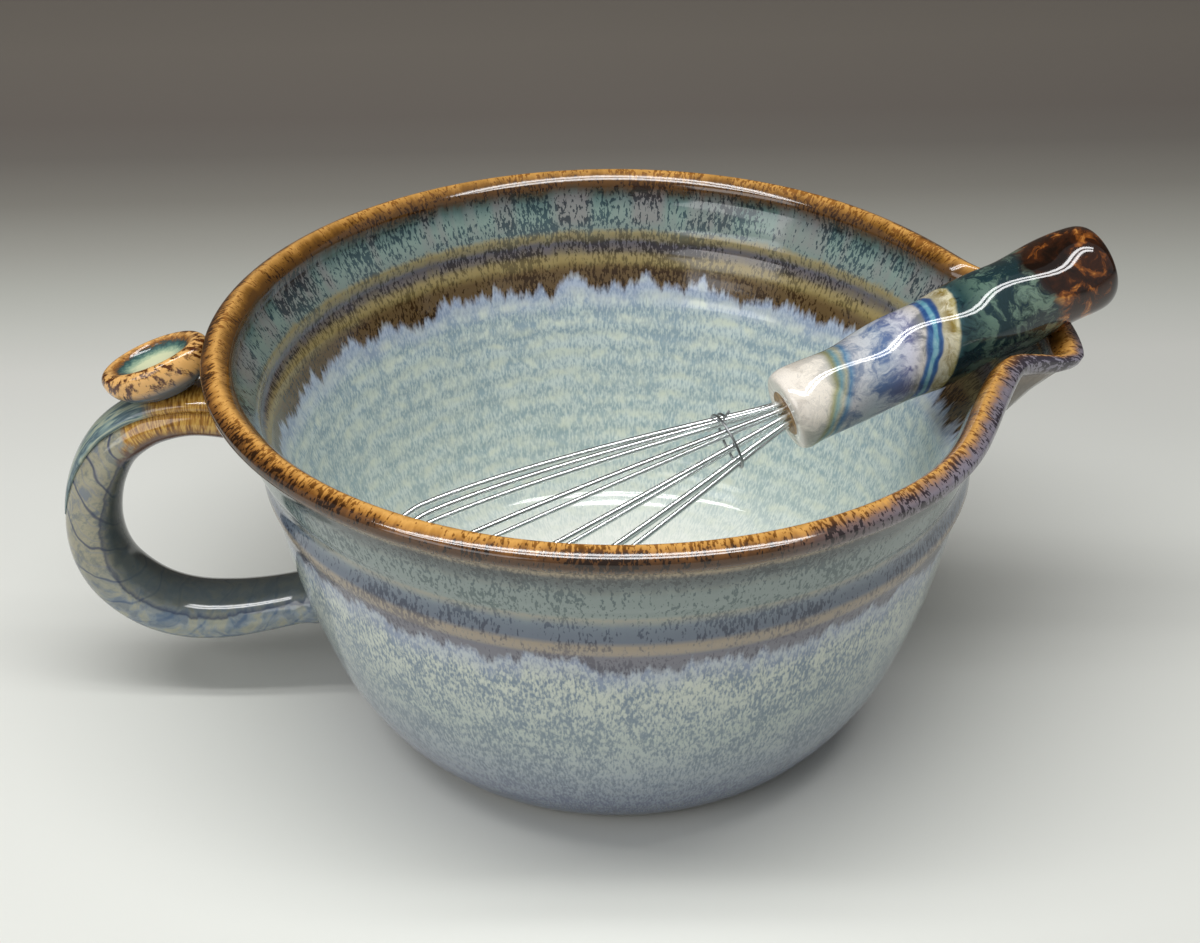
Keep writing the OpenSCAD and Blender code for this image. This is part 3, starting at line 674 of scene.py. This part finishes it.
# %% The ribbon, from one point of the handle's line to another
FIRST, LAST = 15, 48
TAIL_WIDE, TAIL_THICK, TAIL_OUT = 7.8, 3, 0.92
tail_line, tail_sizes = [], []
for i in range(FIRST, LAST + 1):
    inward = facing(handle_line, i, ACROSS).to_3x3() @ Vector((0, 1, 0))
    fade = ((i - FIRST) / (LAST - FIRST)) ** 2
    tail_line.append(handle_line[i] - TAIL_OUT * handle_sizes[i].y * inward)
    tail_sizes.append((TAIL_WIDE * (1 - 0.45 * fade), TAIL_THICK * (1 - 0.75 * fade)))
bm = sweep(tail_line, tail_sizes, ACROSS, 28)
finished(bm, "thumb_rest_tail", "bowl", ribbon_glaze)

# %% [markdown]
# ## Where the whisk lies
# The whisk's pieces are drawn upright, with the wires going up from the grip's end, and
# then laid in the bowl: the grip over the lip of the spout, the loops down to the left.

# %% The whisk's place
LONGEST = 120.0
TIP_AT, WHISK_TURN, WHISK_TILT = (-62.182, -56.779, 62.79), 21.762, 16.85
turned = Matrix.Translation(Vector(TIP_AT) * MM) @ Matrix.Rotation(math.radians(WHISK_TURN), 4, "Z")
lying = Matrix.Rotation(math.radians(270 - WHISK_TILT), 4, "Y")
WHISK_PLACE = turned @ lying @ Matrix.Translation(Vector((0, 0, -LONGEST)) * MM)
print("wire end of the grip at", [round(v / MM, 1) for v in WHISK_PLACE.translation])


def lay_down(bm):
    bmesh.ops.transform(bm, matrix=WHISK_PLACE, verts=bm.verts)
    return bm


# %% [markdown]
# ## The grip's finish
# Coloured slips were trailed round a turned grip and stirred with a point, and its end
# was dipped in the dark glaze. A clear glaze on top makes it smooth and wet to the eye,
# with one long highlight. Stripes alone look printed, so the bands lean, their edges are
# nudged by noise, and flecks of a second colour swirl inside each of them.

# %% The grip's bands, as shares of its length, and their flecks
GRIP_LENGTH, BAND_SHIFT = 98, 6.6
LIGHT_BANDS = [
    (0.0, "#F6EEE2"), (0.13, "#F0E8DA"), (0.15, "#A8A87E"), (0.165, "#8FB0AE"), (0.18, "#CFCBB4"),
    (0.195, "#7FA6BC"), (0.215, "#CACACC"), (0.30, "#BEC6CE"), (0.38, "#C6C6D2"), (0.425, "#CCC6BE"),
    (0.435, "#3F6698"), (0.446, "#46709E"), (0.451, "#8CB6C0"), (0.461, "#8CB6C0"), (0.466, "#3A6294"),
    (0.476, "#3A6294"), (0.482, "#D6D0BA"), (0.53, "#DAD2AE"), (0.538, "#3E5E62"), (0.56, "#32504E"),
    (0.62, "#6E8A78"), (0.78, "#849C88"),
]
DARK_BANDS = [
    (0.0, "#DCD2C6"), (0.05, "#B0A69A"), (0.13, "#8A9090"), (0.15, "#6E6E44"), (0.165, "#4F7F94"),
    (0.18, "#8E9078"), (0.195, "#3E6A94"), (0.215, "#7E8A9E"), (0.30, "#5C739A"), (0.38, "#686C90"),
    (0.425, "#80807A"), (0.435, "#284A7E"), (0.446, "#284A7E"), (0.451, "#5E98AC"), (0.461, "#5E98AC"),
    (0.466, "#284A7E"), (0.476, "#284A7E"), (0.482, "#B0A888"), (0.51, "#86702E"), (0.53, "#A89C60"),
    (0.538, "#182E34"), (0.56, "#12262A"), (0.62, "#1A3236"), (0.78, "#1C2E30"),
]
grip_glaze = new_material("marbled_grip_glaze")
spot = add(grip_glaze, "Attribute", attribute_name="straight").outputs["Vector"]
nudged = swirled(grip_glaze, spot, 9, 3.5, 2.0)
swirl = swirled(grip_glaze, spot, 13, 15, 4.0)
curl = swirled(grip_glaze, swirl, 5, 6, 9.0)
parts = add(grip_glaze, "SeparateXYZ", {0: nudged})
lean = {0: parts.outputs["X"], 1: -0.6, 2: parts.outputs["Z"]}
lean = add(grip_glaze, "Math", lean, operation="MULTIPLY_ADD")
lean = add(grip_glaze, "Math", {0: lean, 1: BAND_SHIFT}, operation="ADD")
share = add(grip_glaze, "Math", {0: lean, 1: GRIP_LENGTH}, operation="DIVIDE")
light_band = add(grip_glaze, "ValToRGB", {0: share}, LIGHT_BANDS)
dark_band = add(grip_glaze, "ValToRGB", {0: share}, DARK_BANDS)
fleck = add(grip_glaze, "TexNoise", {"Vector": curl, "Scale": 0.10, "Detail": 8.0, "Roughness": 0.72})
choice = add(grip_glaze, "ValToRGB", {0: fleck}, [(0.44, 1.0), (0.49, 0.6), (0.56, 0.0)])
pale_end = add(grip_glaze, "MapRange", {"Value": lean, "From Min": 12.0, "From Max": 22.0, "To Min": 0.5})
deeper = add(grip_glaze, "MapRange", {"Value": lean, "From Min": 52.0, "From Max": 54.0, "To Max": 0.35})
choice = {0: choice, 1: pale_end, 2: deeper}
choice = add(grip_glaze, "Math", choice, operation="MULTIPLY_ADD", use_clamp=True)
bands = add(grip_glaze, "MixRGB", {0: choice, 1: light_band, 2: dark_band})
print(len(LIGHT_BANDS), "light and", len(DARK_BANDS), "dark stops along the grip")

# %% Fine blue lines in the marbling, and the brown cap
CAP_FROM = 73.5
lines = vein(grip_glaze, fleck, 0.06, 0.006, 0.03)
amount = add(grip_glaze, "Math", {0: lines, 1: 0.35}, operation="MULTIPLY")
bands = add(grip_glaze, "MixRGB", {0: amount, 1: bands, 2: linear("#2F4A64")})
cap_noise = add(grip_glaze, "TexNoise", {"Vector": curl, "Scale": 0.09, "Detail": 5.0, "Roughness": 0.6})
cap_colour = add(grip_glaze, "ValToRGB", {0: cap_noise}, [
    (0.40, "#180C06"), (0.50, "#361A0A"), (0.55, "#82491A"), (0.59, "#C4843E"), (0.63, "#A07238"),
    (0.70, "#7E7480")])
reach = add(grip_glaze, "SeparateXYZ", {0: swirl}).outputs["Z"]
cap = add(grip_glaze, "MapRange", {"Value": reach, "From Min": CAP_FROM, "From Max": CAP_FROM + 2.5})
grip_colour = add(grip_glaze, "MixRGB", {0: cap, 1: bands, 2: cap_colour})
shaded(grip_glaze, grip_colour, 0.07, IOR=GLAZE_IOR)

# %% [markdown]
# ## The grip
# The grip was thrown as a small solid stick with a bore for the wires, and fingers that
# drew along it left three soft spiral ridges. The outline is spun like the bowl's, and
# the ridges press its points in by up to a twentieth of the radius.

# %% The grip: radius, and distance from the wire end
GRIP_RADIUS, BORE_RADIUS = 12, 7
RIDGE_PRESS, RIDGE_PITCH = 0.026, 26
GRIP = [
    (6.2, 12), (6.2, 1.2), (6.7, 0.15), (9, 0), (10.4, 0.5), (11.2, 2.2), (11.4, 4.2), (11.28, 7.8),
    (11.1, 17.6), (11.72, 29.4), (12.3, 41.2), (12.47, 54.9), (12.6, 70.6), (12.6, 84.3), (12.3, 91.1),
    (11.3, 94.8), (9.2, 97), (5.5, 97.9), (0, 98),
]
bm = bmesh.new()
straight = bm.verts.layers.float_vector.new("straight")
row = [bm.verts.new(p * MM) for p in smooth_line([(r, 0, -s) for r, s in GRIP], 6)]
spun(bm, row, 96)
for vert in bm.verts:
    radius, depth = math.hypot(vert.co.x, vert.co.y) / MM, -vert.co.z / MM
    turn = math.atan2(vert.co.y, vert.co.x)
    vert[straight] = Vector((GRIP_RADIUS * math.cos(turn), GRIP_RADIUS * math.sin(turn), depth))
    if radius > BORE_RADIUS:
        fade = max(0.0, min(1, (GRIP_LENGTH - depth) / 9, depth / 5))
        squeeze = 1 - RIDGE_PRESS * fade * (1 + math.cos(3 * turn + 2 * math.pi * depth / RIDGE_PITCH))
        vert.co.x *= squeeze
        vert.co.y *= squeeze
finished(lay_down(bm), "whisk_handle", "whisk", grip_glaze, ["whisk_grip"])

# %% [markdown]
# ## Wire and resin
# Stainless wire is drawn through a die, so it is round and bright, with a faint haze
# from the drawing. The binding wire is thinner, bent by hand and duller. Resin was poured
# into the bore and left as it set: amber, a little cloudy, with a satin top.

# %% Bright wire, dull wire and resin
wire_steel = new_material("drawn_stainless_wire")
shaded(wire_steel, linear("#F0F4F4"), 0.2, Metallic=1.0)
thin_steel = new_material("thin_binding_steel")
shaded(thin_steel, linear("#9A9C9E"), 0.35, Metallic=1.0)
resin = new_material("set_resin")
spot = add(resin, "TexCoord").outputs["Object"]
cloud = add(resin, "TexNoise", {"Vector": spot, "Scale": 400.0, "Detail": 3.0})
resin_colour = add(resin, "ValToRGB", {0: cloud}, [(0.35, "#7E5A2C"), (0.65, "#B08A50")])
shaded(resin, resin_colour, 0.45)
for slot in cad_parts["grip_plug"].material_slots:
    slot.material = resin

# %% [markdown]
# ## The loops
# Five loops of wire nest at the tip, each a little shorter than the last and turned 36
# degrees from it, and their ten ends are set in the resin. Half of a loop is worked out
# from how fast it opens, mirrored, and swept with a round section.

# %% The five loops: they open up from the exit to their widest, then close in a half circle
EXIT, WIDE, WIDE_AT, LOOP_TURN = 3.2, 20.0, 96.9, -12.6
LOOP_WIRE, NEST_STEP, SET_IN = 0.75, 2.1, 14
SLOW_START, FULL_AT, BELLY = 0.04, 0.9615, 1.35


def opening(t):
    """How far a loop has opened at a share of the way to its widest place."""
    u = t * t / (t + SLOW_START)
    return 1 - (1 - min(u / FULL_AT, 1)) ** BELLY


def loop_line(k):
    """Half of a loop, as places along the whisk and out from its middle, then the other half."""
    tip = LONGEST - k * NEST_STEP
    half = [(-SET_IN, EXIT)]
    for t in [(i / 26) ** 1.15 for i in range(27)]:
        half.append((t * WIDE_AT, EXIT + (WIDE - EXIT) * opening(t)))
    for a in [math.pi / 36 * i for i in range(1, 19)]:
        half.append((WIDE_AT + (tip - WIDE_AT) * math.sin(a), WIDE * math.cos(a)))
    other = [(s, -r) for s, r in reversed(half[:-1])]
    return [Vector((r, 0, s)) for s, r in half + other]


for k in range(5):
    line = loop_line(k)
    bm = sweep(line, [(LOOP_WIRE, LOOP_WIRE)] * len(line), ACROSS, 12)
    turn = Matrix.Rotation(math.radians(LOOP_TURN + 36 * (k + 0.5)), 3, "Z")
    bmesh.ops.rotate(bm, cent=(0, 0, 0), matrix=turn, verts=bm.verts)
    finished(lay_down(bm), f"loop_{k + 1}", "whisk", wire_steel, [f"whisk_wire_{k + 1}"])

# %% [markdown]
# ## The binding wire
# A thin wire is wound once and a quarter round the ten strands to space them, and its two
# ends stick out. A ring would miss the ends, so it is a line on a cone, swept like the
# loops; the cone's slope is that of the strands where it sits.

# %% The binding wire
BIND_AT, TURNS, RISE = 17.0, 1.25, 1.6
BIND_WIRE, BIND_GAP = 0.35, 0.15
share = BIND_AT / WIDE_AT
bind_radius = EXIT + (WIDE - EXIT) * opening(share) + LOOP_WIRE + BIND_WIRE + BIND_GAP
slope = (WIDE - EXIT) * (opening(share + 0.01) - opening(share)) / (0.01 * WIDE_AT)


def bind_point(t):
    """A place on the winding, from 0 at its start to 1 at its end."""
    up = RISE * TURNS * (t - 0.5)
    turn = 2 * math.pi * TURNS * t
    radius = bind_radius + slope * up
    return Vector((radius * math.cos(turn), radius * math.sin(turn), BIND_AT + up))


def bind_end(t, way):
    """The way a loose end sticks out: outwards, on along the winding, and a little up or down."""
    turn = 2 * math.pi * TURNS * t
    x = math.cos(turn) * 0.8 - way * math.sin(turn) * 0.6
    y = math.sin(turn) * 0.8 + way * math.cos(turn) * 0.6
    return Vector((x, y, way * 0.25))


line = [bind_point(i / 60) for i in range(61)]
start, end = line[0], line[-1]
line = [start + 3.2 * bind_end(0, -1), start + 1.6 * bind_end(0, -1)] + line
line += [end + 1.6 * bind_end(1, 1), end + 3.2 * bind_end(1, 1)]
bm = sweep(line, [(BIND_WIRE, BIND_WIRE)] * len(line), Vector((0, 0, 1)), 10)
finished(lay_down(bm), "binding_tie", "whisk", thin_steel, ["binding_wire"])

# %% [markdown]
# ## Floor and backdrop
# A sheet of grey background paper, dull and without a sheen, lies under the bowl and
# stands behind it. The real light falls off towards the back. The paper's own colour
# does that here, so the lamps can stay plain and even on the bowl.

# %% Paper with painted shade, darker towards the back
paper = new_material("grey_backdrop_paper")
floor_place = add(paper, "SeparateXYZ", {0: add(paper, "TexCoord").outputs["Object"]})
back = {0: floor_place.outputs["X"], 1: -0.05, 2: floor_place.outputs["Y"]}
back = add(paper, "Math", back, operation="MULTIPLY_ADD")
far_back = add(paper, "MapRange", {"Value": back, "From Min": 0.12, "From Max": 0.52})
# The ramp is painted shade: the lamps' falloff towards the back, painted into the paper's colour.
paper_painted_falloff = add(paper, "ValToRGB", {0: far_back}, [
    (0.0, "#E6E7E1"), (0.19, "#DEDED8"), (0.27, "#D2D3CC"), (0.355, "#C2C3BB"), (0.445, "#ADACA4"),
    (0.56, "#8F8C84"), (0.68, "#7B766F"), (0.78, "#78716A"), (1.0, "#817A71")])
shaded(paper, paper_painted_falloff, 0.85)


# %% Floor and backdrop, in metres
SHEET, BACKDROP_AT = 8.0, 1.15


def studio_sheet(name, matrix):
    bm = bmesh.new()
    bmesh.ops.create_grid(bm, x_segments=1, y_segments=1, size=SHEET / 2, matrix=matrix)
    mesh = bpy.data.meshes.new(name)
    bm.to_mesh(mesh)
    bm.free()
    mesh.materials.append(paper)
    sheet = bpy.data.objects.new(name, mesh)
    bpy.context.scene.collection.objects.link(sheet)
    print(name, SHEET, "m square")


studio_sheet("floor", Matrix.Identity(4))
upright = Matrix.Rotation(math.radians(90), 4, "X")
studio_sheet("backdrop", Matrix.Translation((0, BACKDROP_AT, SHEET / 2)) @ upright)

# %% [markdown]
# ## Light
# Two tube lamps hang over the bowl and draw the double white lines along the rim and the
# grip. A wide soft box at the front left fills the wall that faces the camera, and an
# even pale world keeps the shadows open. Places and sizes are in metres.

# %% Lights
def soft_box(name, place, aim, size, power):
    lamp = bpy.data.lights.new(name, "AREA")
    lamp.shape = "RECTANGLE"
    lamp.size, lamp.size_y = size
    lamp.energy = power
    box = bpy.data.objects.new(name, lamp)
    box.location = place
    box.rotation_euler = (Vector(aim) - Vector(place)).to_track_quat("-Z", "Y").to_euler()
    bpy.context.scene.collection.objects.link(box)
    print(name, power, "W")


TUBE_HEIGHT, TUBE_SIZE, TUBE_POWER = 0.95, (1.2, 0.07), 4.0
soft_box("front_tube", (-0.1, -0.26, TUBE_HEIGHT), (-0.1, -0.26, 0), TUBE_SIZE, TUBE_POWER)
soft_box("back_tube", (-0.1, -0.14, TUBE_HEIGHT), (-0.1, -0.14, 0), TUBE_SIZE, TUBE_POWER)
soft_box("front_fill", (-0.9, -1.0, 0.7), (0, 0, 0.06), (0.9, 0.9), 6.2)
world = bpy.data.worlds.new("studio")
bpy.context.scene.world = world
world.use_nodes = True
world.node_tree.nodes["Background"].inputs["Color"].default_value = linear("#F0F2F4")
world.node_tree.nodes["Background"].inputs["Strength"].default_value = 0.32
